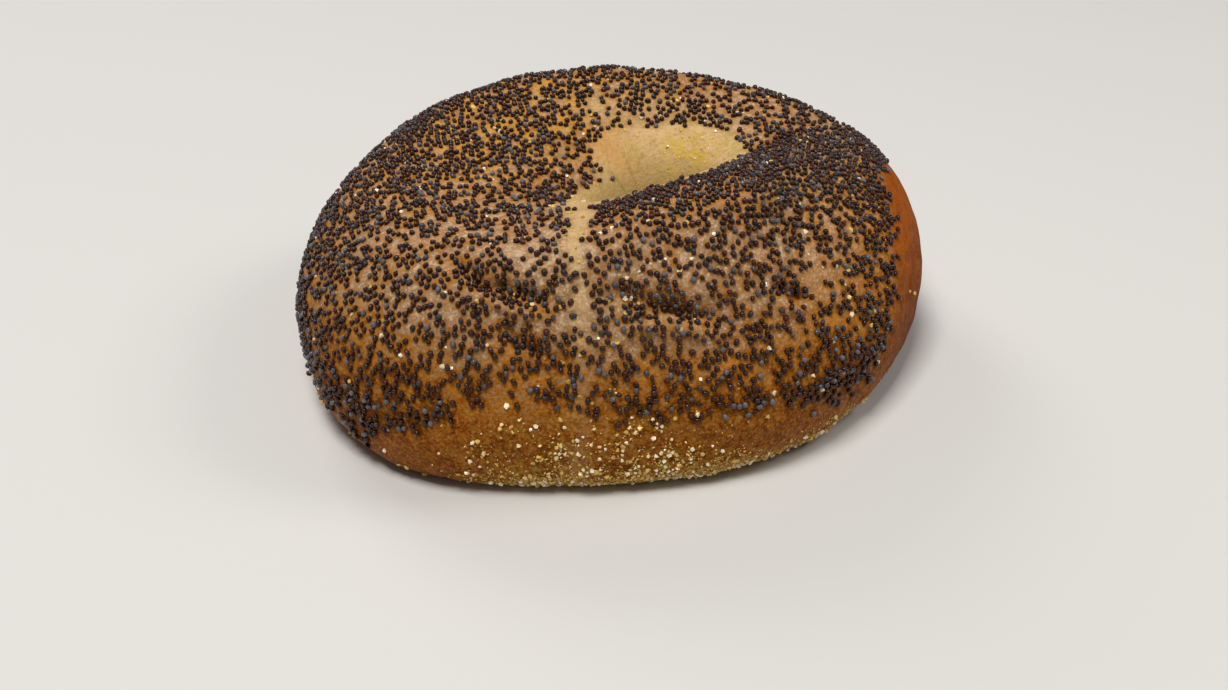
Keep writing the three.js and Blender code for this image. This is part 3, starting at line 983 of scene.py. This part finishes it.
GRAINS = (
    Grain("cornmeal_grits", "gritting", 5, 3, 0.0, 0),
    Grain("cornmeal_dust", "fine_meal", 4, 2, 0.42, 100),
)
GRAIN_SHAPES = 4
GRAIN_SQUASH = (1.0, 0.72, 0.5)
GRAIN_STRAY = 0.26  # how far a corner is moved, as a share of the grain
GRAIN_TILT = math.radians(35)
GRAIN_SIZES = (0.6, 1.35)
GRAIN_LIFT, GRAIN_LOWEST = 0.12, 0.9  # its middle above the skin and the base, in grains

CROWDING = 4.0  # points that are tried in a square as wide as the least distance

# The random draws of one scatter: how far apart they start, and each one's number.
STREAM_STEP = 10.0
TURN_STREAM, SIZE_STREAM, SHAPE_STREAM, TINT_STREAM = 1, 2, 3, 4
LAST_SHAPE = 99  # shapes are drawn from 0 up to this, and counted round and round


def finished_piece(name, mesh, material):
    """An object at the origin that rides on the bagel's body and takes its finish from a slot."""
    piece = bpy.data.objects.new(name, mesh)
    bpy.context.scene.collection.objects.link(piece)
    piece.data.materials.clear()
    piece.data.materials.append(material)
    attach(piece, BODY)
    return piece


def seed_shape(name, notch, size):
    """A kidney-shaped seed: a top point, two rings and a flat bottom."""
    shape = bmesh.new()
    top = shape.verts.new((0, 0, 0.5 * size.z))
    loops = []
    for reach, level in SEED_RINGS:
        loop = []
        for k in range(SEED_SIDES):
            angle = 360.0 * k / SEED_SIDES
            dent = notch * bell(turn_between(NOTCH_SIDE, angle), NOTCH_HALF)
            dented = 0.5 * reach * (1.0 - dent)
            x = size.x * dented * math.cos(math.radians(angle))
            y = size.y * dented * math.sin(math.radians(angle))
            loop.append(shape.verts.new((x, y, 0.5 * size.z * level)))
        loops.append(loop)
    upper, lower = loops
    for k in range(SEED_SIDES):
        following = (k + 1) % SEED_SIDES
        shape.faces.new((top, upper[k], upper[following]))
        shape.faces.new((upper[k], lower[k], lower[following], upper[following]))
    shape.faces.new(list(reversed(lower)))
    for face in shape.faces:
        face.smooth = True
    return shape_object(name, shape)


def grain_shape(name, start, sides, rings):
    """An angular flake one metre long, with its corners moved at random."""
    shape = bmesh.new()
    bmesh.ops.create_uvsphere(shape, u_segments=sides, v_segments=rings, radius=0.5)
    noise.seed_set(start + 1)  # 0 would draw from the clock
    for number, vertex in enumerate(shape.verts):
        draw = Vector((start * 3.7 + 0.3, number * 1.9 + 0.2, start + number * 0.7))
        vertex.co = vertex.co * Vector(GRAIN_SQUASH) + noise.noise_vector(draw) * GRAIN_STRAY
    return shape_object(name, shape)


def shape_object(name, shape):
    """Turns a shape into an object that can be scattered."""
    bmesh.ops.recalc_face_normals(shape, faces=shape.faces)
    mesh = bpy.data.meshes.new(name)
    shape.to_mesh(mesh)
    shape.free()
    return bpy.data.objects.new(name, mesh)


class TreeBench:
    """A Geometry Nodes tree under construction."""

    def __init__(self, name):
        self.tree = bpy.data.node_groups.new(name, "GeometryNodeTree")
        self.tree.is_modifier = True
        self.sockets = {}

    def take(self, kind, *names):
        """Adds named inputs of one kind."""
        for name in names:
            item = self.tree.interface.new_socket(name=name, in_out="INPUT", socket_type=kind)
            self.sockets[name] = item.identifier

    def add(self, kind, inputs=None, **values):
        """Adds a node with its settings, its inputs linked or set, and gives its outputs."""
        node = self.tree.nodes.new(kind)
        for name, value in values.items():
            setattr(node, name, value)
        for name, value in (inputs or {}).items():
            socket = node.inputs[name]
            if isinstance(value, bpy.types.NodeSocket):
                self.tree.links.new(value, socket)
            else:
                socket.default_value = value
        return node.outputs

    def random(self, kind, least, most, start, stream):
        """A random value for each point, drawn from the numbered stream."""
        sockets = {"FLOAT_VECTOR": (0, 1, 0), "FLOAT": (2, 3, 1), "INT": (4, 5, 2)}
        first, second, output = sockets[kind]
        shift = STREAM_STEP * stream
        seed = self.add("ShaderNodeMath", {0: start, 1: shift}, operation="ADD")[0]
        inputs = {first: least, second: most, "Seed": seed}
        return self.add("FunctionNodeRandomValue", inputs, data_type=kind)[output]


def scatter_tree():
    """Scatters shapes over a skin, one for each point, turned at random and each with a tint."""
    bench = TreeBench("Scatter Over Skin")
    bench.take("NodeSocketGeometry", "Geometry")
    bench.take("NodeSocketCollection", "Shapes")
    bench.take("NodeSocketString", "Density Field")
    bench.take("NodeSocketFloat", "Spacing", "Most per Area", "Lift", "Lowest", "Tilt")
    bench.take("NodeSocketFloat", "Smallest", "Largest", "Least Tint")
    bench.take("NodeSocketInt", "Random Start")
    bench.take("NodeSocketMaterial", "Material")
    bench.tree.interface.new_socket(
        name="Geometry", in_out="OUTPUT", socket_type="NodeSocketGeometry"
    )
    given = bench.add("NodeGroupInput")
    start = given["Random Start"]

    share = bench.add(
        "GeometryNodeInputNamedAttribute", {"Name": given["Density Field"]}, data_type="FLOAT"
    )
    points = bench.add(
        "GeometryNodeDistributePointsOnFaces",
        {
            "Mesh": given["Geometry"],
            "Distance Min": given["Spacing"],
            "Density Max": given["Most per Area"],
            "Density Factor": share["Attribute"],
            "Seed": start,
        },
        distribute_method="POISSON",
    )
    shapes = bench.add(
        "GeometryNodeCollectionInfo",
        {"Collection": given["Shapes"], "Separate Children": True, "Reset Children": True},
    )
    placed = bench.add(
        "GeometryNodeInstanceOnPoints",
        {
            "Points": settled_points(bench, points, given["Lift"], given["Lowest"]),
            "Instance": shapes[0],
            "Pick Instance": True,
            "Instance Index": bench.random("INT", 0, LAST_SHAPE, start, SHAPE_STREAM),
            "Rotation": turned_points(bench, points, given["Tilt"], start),
            "Scale": bench.random(
                "FLOAT", given["Smallest"], given["Largest"], start, SIZE_STREAM
            ),
        },
    )
    tint = bench.random("FLOAT", given["Least Tint"], 1.0, start, TINT_STREAM)
    tinted = bench.add(
        "GeometryNodeStoreNamedAttribute",
        {"Geometry": placed[0], "Name": "tint", "Value": tint},
        data_type="FLOAT",
        domain="INSTANCE",
    )
    real = bench.add("GeometryNodeRealizeInstances", {"Geometry": tinted[0]})
    dressed = bench.add(
        "GeometryNodeSetMaterial", {"Geometry": real[0], "Material": given["Material"]}
    )
    bench.add("NodeGroupOutput", {"Geometry": dressed[0]})
    return bench


def turned_points(bench, points, tilt, start):
    """Each point's rotation: turned all the way round at random and tilted by up to the tilt."""
    other_way = bench.add("ShaderNodeMath", {0: 0.0, 1: tilt}, operation="SUBTRACT")[0]
    least = bench.add("ShaderNodeCombineXYZ", {"X": other_way, "Y": other_way, "Z": 0.0})[0]
    most = bench.add("ShaderNodeCombineXYZ", {"X": tilt, "Y": tilt, "Z": 2 * math.pi})[0]
    angles = bench.random("FLOAT_VECTOR", least, most, start, TURN_STREAM)
    turn = bench.add("FunctionNodeEulerToRotation", {"Euler": angles})[0]
    inputs = {"Rotation": points["Rotation"], "Rotate By": turn}
    return bench.add("FunctionNodeRotateRotation", inputs, rotation_space="LOCAL")[0]


def settled_points(bench, points, lift, lowest):
    """The points moved out of the skin by the lift, and no lower than the lowest height."""
    outwards = {0: points["Normal"], "Scale": lift}
    outwards = bench.add("ShaderNodeVectorMath", outwards, operation="SCALE")[0]
    place = bench.add("GeometryNodeInputPosition")[0]
    lifted = bench.add("ShaderNodeVectorMath", {0: place, 1: outwards}, operation="ADD")[0]
    parts = bench.add("ShaderNodeSeparateXYZ", {0: lifted})
    height = bench.add("ShaderNodeMath", {0: parts["Z"], 1: lowest}, operation="MAXIMUM")[0]
    settled = {"X": parts["X"], "Y": parts["Y"], "Z": height}
    settled = bench.add("ShaderNodeCombineXYZ", settled)[0]
    moved = {"Geometry": points["Points"], "Position": settled}
    return bench.add("GeometryNodeSetPosition", moved)[0]


def scattered(name, skin, shapes, material, values):
    """The joined mesh of shapes scattered over a copy of the skin."""
    collection = bpy.data.collections.new(name + "_shapes")
    for shape in shapes:
        collection.objects.link(shape)
    bench = scatter_tree()
    carrier = bpy.data.objects.new(name + "_carrier", skin.data.copy())
    bpy.context.scene.collection.objects.link(carrier)
    modifier = carrier.modifiers.new("Scatter", "NODES")
    modifier.node_group = bench.tree
    for label, value in {**values, "Shapes": collection, "Material": material}.items():
        modifier[bench.sockets[label]] = value
    evaluated = carrier.evaluated_get(bpy.context.evaluated_depsgraph_get())
    mesh = bpy.data.meshes.new_from_object(evaluated)
    mesh.name = name
    bpy.data.objects.remove(carrier)
    for shape in shapes:
        bpy.data.objects.remove(shape)
    bpy.data.collections.remove(collection)
    bpy.data.node_groups.remove(bench.tree)
    if not mesh.polygons:
        raise RuntimeError(name + " came out empty")
    return mesh


def paint_shade_round_seeds(skin, seeds):
    """Stores on the skin a painted shade round the seeds, from how close each point is to a seed: 1
    under it and 0 in the open.
    """
    places = np.empty(len(seeds.vertices) * 3)
    seeds.vertices.foreach_get("co", places)
    middles = places.reshape(-1, SEED_POINTS, 3).mean(axis=1)
    nearest = kdtree.KDTree(len(middles))
    for index, middle in enumerate(middles):
        nearest.insert(middle, index)
    nearest.balance()
    distances = np.array([nearest.find(vertex.co)[2] for vertex in skin.data.vertices])
    add_fields(skin.data, {"seed_nearness": ramp(distances / MM, *PAINTED_SEED_SHADE_REACH)})


def crust_object():
    """The crust, which the toppings need."""
    skin = bpy.data.objects.get("bagel_crust")
    if skin is None:
        raise RuntimeError("bake the crust before the toppings")
    return skin


# --------------------------------------------------------------------------------------------------
# The stage
# --------------------------------------------------------------------------------------------------

# A soft square light: its place and its width in metres, and its tint.
Lamp = namedtuple("Lamp", "name place width tint")
LAMPS = (
    Lamp("key", (-0.15, -0.28, 0.92), 0.32, (1.0, 0.98, 0.95)),
    Lamp("back", (-0.45, 0.62, 0.6), 0.4, (1.0, 0.98, 0.96)),
    Lamp("side", (0.6, 0.05, 0.6), 0.3, (1.0, 0.98, 0.95)),
)
LIT_PLACE = (0.0, 0.0, 0.03)  # the middle of the bagel, in metres
SURROUNDINGS_TINT = (1.0, 0.99, 0.97, 1.0)
CAMERA_PLACE = (0.18, -259.4, 162.3)
SENSOR_WIDTH = 36.0


def lay_floor(settings):
    """A plain square floor at the height of the base."""
    half = settings.floor_size / 2
    level = cad_box[0][2]
    mesh = bpy.data.meshes.new("floor")
    corners = [(-half, -half), (half, -half), (half, half), (-half, half)]
    mesh.from_pydata([(x, y, level) for x, y in corners], [], [(0, 1, 2, 3)])
    floor = bpy.data.objects.new("floor", mesh)
    bpy.context.scene.collection.objects.link(floor)
    paint = (*settings.floor_colour, 1.0)
    bench = NodeBench("floor_paint")
    mesh.materials.append(bench.finish(paint, FLOOR_ROUGHNESS, specular=FLOOR_SPECULAR))


def light_stage(scene, settings):
    """Three soft lights that shine at the bagel, and an even light from all round."""
    for lamp in LAMPS:
        data = bpy.data.lights.new(lamp.name, "AREA")
        data.shape = "SQUARE"
        data.size = lamp.width
        data.energy = getattr(settings, lamp.name + "_power")
        data.color = lamp.tint
        light = bpy.data.objects.new(lamp.name, data)
        direction = Vector(LIT_PLACE) - Vector(lamp.place)
        light.location = lamp.place
        light.rotation_euler = direction.to_track_quat("-Z", "Y").to_euler()
        scene.collection.objects.link(light)
    world = bpy.data.worlds.new("surroundings")
    world.use_nodes = True
    backdrop = world.node_tree.nodes["Background"]
    backdrop.inputs["Color"].default_value = SURROUNDINGS_TINT
    backdrop.inputs["Strength"].default_value = settings.surroundings
    scene.world = world
    scene.view_settings.view_transform = "Standard"


def set_camera(scene, settings):
    """A camera in front of the bagel that looks down on it."""
    data = bpy.data.cameras.new("camera")
    data.lens = settings.lens
    data.sensor_width = SENSOR_WIDTH
    camera = bpy.data.objects.new("camera", data)
    tilt = Matrix.Rotation(math.radians(90.0) - settings.pitch, 4, "X")
    lean = Matrix.Rotation(settings.roll, 4, "Z")
    camera.matrix_world = Matrix.Translation(Vector(CAMERA_PLACE) * MM) @ tilt @ lean
    scene.collection.objects.link(camera)
    scene.camera = camera


# --------------------------------------------------------------------------------------------------
# Settings
# --------------------------------------------------------------------------------------------------


def length(name, description, millimetres):
    """A length that a user may change."""
    return bpy.props.FloatProperty(
        name=name,
        description=description,
        default=millimetres * MM,
        min=0.0,
        precision=5,
        unit="LENGTH",
    )


def colour(name, description, default):
    """A colour that a user may change."""
    return bpy.props.FloatVectorProperty(
        name=name,
        description=description,
        default=default,
        size=3,
        min=0.0,
        max=1.0,
        subtype="COLOR",
    )


def number(name, description, default, **kind):
    """A plain number, or one with a unit or a subtype."""
    return bpy.props.FloatProperty(name=name, description=description, default=default, **kind)


def count(name, description, default):
    """A whole number of at least 0."""
    return bpy.props.IntProperty(name=name, description=description, default=default, min=0)


class CrustSettings(bpy.types.PropertyGroup):
    """Sizes and colours of the baked skin"""

    steps_around: count("Steps Around", "Faces round the ring", 430)
    steps_section: count("Steps Round the Dough", "Faces round the dough's section", 225)
    lump_height: length("Lump Height", "Height of the broad lumps in the skin", 0.45)
    blister_height: length("Blister Height", "Height of the small blisters in the skin", 0.14)
    seed_room: length("Seed Room", "How far the skin is sunk under the seeds", 0.5)
    streak_height: length("Streak Height", "Height of the stretch marks on the bare end", 0.14)
    light_colour: colour("Light Crust", "The least baked crust", (0.6, 0.42, 0.25))
    tan_colour: colour("Tan Crust", "The crust on the crown", (0.34, 0.212, 0.115))
    golden_colour: colour("Golden Crust", "The crust's main colour", (0.37, 0.141, 0.016))
    brown_colour: colour("Brown Crust", "Well baked crust", (0.28, 0.074, 0.003))
    dark_colour: colour("Dark Crust", "The darkest crust", (0.13, 0.036, 0.002))
    orange_colour: colour("Orange Patches", "Patches of clear orange crust", (0.5, 0.172, 0.012))
    gold_colour: colour("Gold Patches", "Patches of yellow crust", (0.63, 0.29, 0.035))
    rosy_colour: colour("Rosy Spots", "Pinkish spots in the lighter crust", (0.62, 0.33, 0.22))
    red_end_colour: colour("Red End", "The bare end's darker crust", (0.17, 0.036, 0.003))
    orange_end_colour: colour("Orange End", "The bare end's lighter crust", (0.35, 0.083, 0.003))
    hollow_colour: colour("Hollow", "The skin in the hollow and the seam", (0.67, 0.45, 0.222))
    hollow_shade_colour: colour("Hollow Shade", "The pale skin's olive patches", (0.54, 0.39, 0.13))
    # Painted shade deep in the hole, with a more olive tint.
    painted_hole_shade_colour: colour("Hollow Depth", "The skin deep in the hollow", (0.4, 0.285, 0.105))
    warm_colour: colour("Warm Skin", "The orange tan part of the hollow", (0.58, 0.32, 0.105))
    pore_colour: colour("Pores", "Small darker spots in the pale skin", (0.42, 0.22, 0.08))
    dust_colour: colour("Meal Dust", "Fine meal that dusts the skin", (0.6, 0.42, 0.035))


class SeedSettings(bpy.types.PropertyGroup):
    """Sizes and colours of the poppy seeds"""

    seed_length: length("Length", "Length of a seed", 1.28)
    seed_width: length("Width", "Width of a seed", 1.12)
    seed_height: length("Height", "Height of a seed", 1.0)
    lift: length("Lift", "Height of a seed's middle above the skin", 0.24)
    spacing: length("Spacing", "The least distance between two seeds", 0.96)
    random_start: count("Random Start", "Start of the random draws", 11)
    maroon_colour: colour("Maroon Seeds", "The reddest coats", (0.065, 0.013, 0.003))
    black_colour: colour("Black Seeds", "The commonest coats", (0.027, 0.006, 0.001))
    purple_colour: colour("Purple Seeds", "Dull purple coats", (0.036, 0.012, 0.009))
    blue_colour: colour("Blue Seeds", "Slate blue coats", (0.024, 0.021, 0.024))
    bloom_colour: colour("Bloom", "The pale waxy bloom on some seeds", (0.14, 0.135, 0.15))


class MealSettings(bpy.types.PropertyGroup):
    """Sizes and colours of the cornmeal"""

    grit_size: length("Grain Size", "Length of a coarse grain", 0.92)
    grit_spacing: length("Grain Spacing", "The least distance between two coarse grains", 0.7)
    dust_size: length("Dust Size", "Length of a fine grain", 0.46)
    dust_spacing: length("Dust Spacing", "The least distance between two fine grains", 0.32)
    random_start: count("Random Start", "Start of the random draws", 23)
    cream_colour: colour("Cream Grains", "The palest grains", (1.0, 0.86, 0.57))
    yellow_colour: colour("Yellow Grains", "The commonest grains", (0.84, 0.55, 0.1))
    amber_colour: colour("Amber Grains", "The deepest yellow grains", (0.48, 0.27, 0.03))


class StageSettings(bpy.types.PropertyGroup):
    """The floor, the light and the camera"""

    floor_size: length("Floor Size", "Width of the floor", 6000)
    floor_colour: colour("Floor", "The plain floor", (0.66, 0.65, 0.63))
    surroundings: number("Surroundings", "Strength of the even light from all round", 0.13, min=0.0)
    key_power: number("Key Light", "Power of the light overhead", 7.4, min=0.0, unit="POWER")
    back_power: number("Back Light", "Power of the light behind", 2.6, min=0.0, unit="POWER")
    side_power: number("Side Light", "Power of the light on the right", 1.8, min=0.0, unit="POWER")
    lens: number("Lens", "The camera's focal length", 48.385, unit="CAMERA")
    pitch: number("Pitch", "How far it looks down", math.radians(32.07), subtype="ANGLE")
    roll: number("Roll", "How far it leans over", math.radians(0.62), subtype="ANGLE")


# --------------------------------------------------------------------------------------------------
# Operators
# --------------------------------------------------------------------------------------------------


class BAGEL_OT_bake_crust(bpy.types.Operator):
    """Build the dough ring with its folds, its blisters and its baked skin"""

    bl_idname = "bagel.bake_crust"
    bl_label = "Bake Crust"

    def execute(self, context):
        settings = context.scene.bagel_crust
        material = crust_finish(settings)
        piece = finished_piece("bagel_crust", crust_mesh(settings), material)
        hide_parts(CAD_NODE)
        return {"FINISHED"}


class BAGEL_OT_scatter_seeds(bpy.types.Operator):
    """Scatter poppy seeds over the crust"""

    bl_idname = "bagel.scatter_seeds"
    bl_label = "Scatter Poppy Seeds"

    def execute(self, context):
        settings = context.scene.bagel_seeds
        skin = crust_object()
        size = Vector((settings.seed_length, settings.seed_width, settings.seed_height))
        shapes = [seed_shape(k.name, k.notch, size * Vector(k.shares)) for k in SEED_KINDS]
        material = seed_finish(settings)
        values = {
            "Density Field": "seeding",
            "Spacing": settings.spacing,
            "Most per Area": CROWDING / settings.spacing**2,
            "Lift": settings.lift,
            "Lowest": cad_box[0][2] + settings.seed_length,
            "Tilt": SEED_TILT,
            "Smallest": SEED_SIZES[0],
            "Largest": SEED_SIZES[1],
            "Least Tint": 0.0,
            "Random Start": settings.random_start,
        }
        mesh = scattered("poppy_seeds", skin, shapes, material, values)
        # paints shade on the crust round the seeds
        paint_shade_round_seeds(skin, mesh)
        finished_piece("poppy_seeds", mesh, material)
        return {"FINISHED"}


class BAGEL_OT_scatter_cornmeal(bpy.types.Operator):
    """Scatter coarse and fine cornmeal over the front edge, the underside and the top"""

    bl_idname = "bagel.scatter_cornmeal"
    bl_label = "Scatter Cornmeal"

    def execute(self, context):
        settings = context.scene.bagel_meal
        skin = crust_object()
        material = meal_finish(settings)
        coarse = (settings.grit_size, settings.grit_spacing)
        fine = (settings.dust_size, settings.dust_spacing)
        for grain, (size, spacing) in zip(GRAINS, (coarse, fine)):
            shapes = [
                grain_shape(f"grain_{k}", grain.stream + k, grain.sides, grain.rings)
                for k in range(GRAIN_SHAPES)
            ]
            values = {
                "Density Field": grain.field,
                "Spacing": spacing,
                "Most per Area": CROWDING / spacing**2,
                "Lift": size * GRAIN_LIFT,
                "Lowest": cad_box[0][2] + size * GRAIN_LOWEST,
                "Tilt": GRAIN_TILT,
                "Smallest": size * GRAIN_SIZES[0],
                "Largest": size * GRAIN_SIZES[1],
                "Least Tint": grain.least_tint,
                "Random Start": settings.random_start + grain.stream,
            }
            mesh = scattered(grain.name, skin, shapes, material, values)
            finished_piece(grain.name, mesh, material)
        return {"FINISHED"}


class BAGEL_OT_set_stage(bpy.types.Operator):
    """Lay the plain floor and set the soft studio light and the camera"""

    bl_idname = "bagel.set_stage"
    bl_label = "Set Stage"

    def execute(self, context):
        settings = context.scene.bagel_stage
        lay_floor(settings)
        light_stage(context.scene, settings)
        set_camera(context.scene, settings)
        return {"FINISHED"}


class VIEW3D_PT_bagel(bpy.types.Panel):
    """Lists the steps that build the bagel, with their sizes and colours"""

    bl_label = "Poppy Seed Bagel"
    bl_space_type = "VIEW_3D"
    bl_region_type = "UI"
    bl_category = "Bagel"

    def draw(self, context):
        for operator, name, _ in STEPS:
            box = self.layout.box()
            box.operator(operator.bl_idname)
            settings = getattr(context.scene, name)
            for setting in settings.__annotations__:
                box.prop(settings, setting)


# Each step's operator, and its settings' name on the scene and their group.
STEPS = (
    (BAGEL_OT_bake_crust, "bagel_crust", CrustSettings),
    (BAGEL_OT_scatter_seeds, "bagel_seeds", SeedSettings),
    (BAGEL_OT_scatter_cornmeal, "bagel_meal", MealSettings),
    (BAGEL_OT_set_stage, "bagel_stage", StageSettings),
)


def register():
    for operator, name, group in STEPS:
        bpy.utils.register_class(group)
        setattr(bpy.types.Scene, name, bpy.props.PointerProperty(type=group))
        bpy.utils.register_class(operator)
    bpy.utils.register_class(VIEW3D_PT_bagel)


def unregister():
    bpy.utils.unregister_class(VIEW3D_PT_bagel)
    for operator, name, group in reversed(STEPS):
        bpy.utils.unregister_class(operator)
        delattr(bpy.types.Scene, name)
        bpy.utils.unregister_class(group)


def main():
    register()
    bpy.ops.bagel.bake_crust()
    bpy.ops.bagel.scatter_seeds()
    bpy.ops.bagel.scatter_cornmeal()
    bpy.ops.bagel.set_stage()


if __name__ == "__main__":
    main()
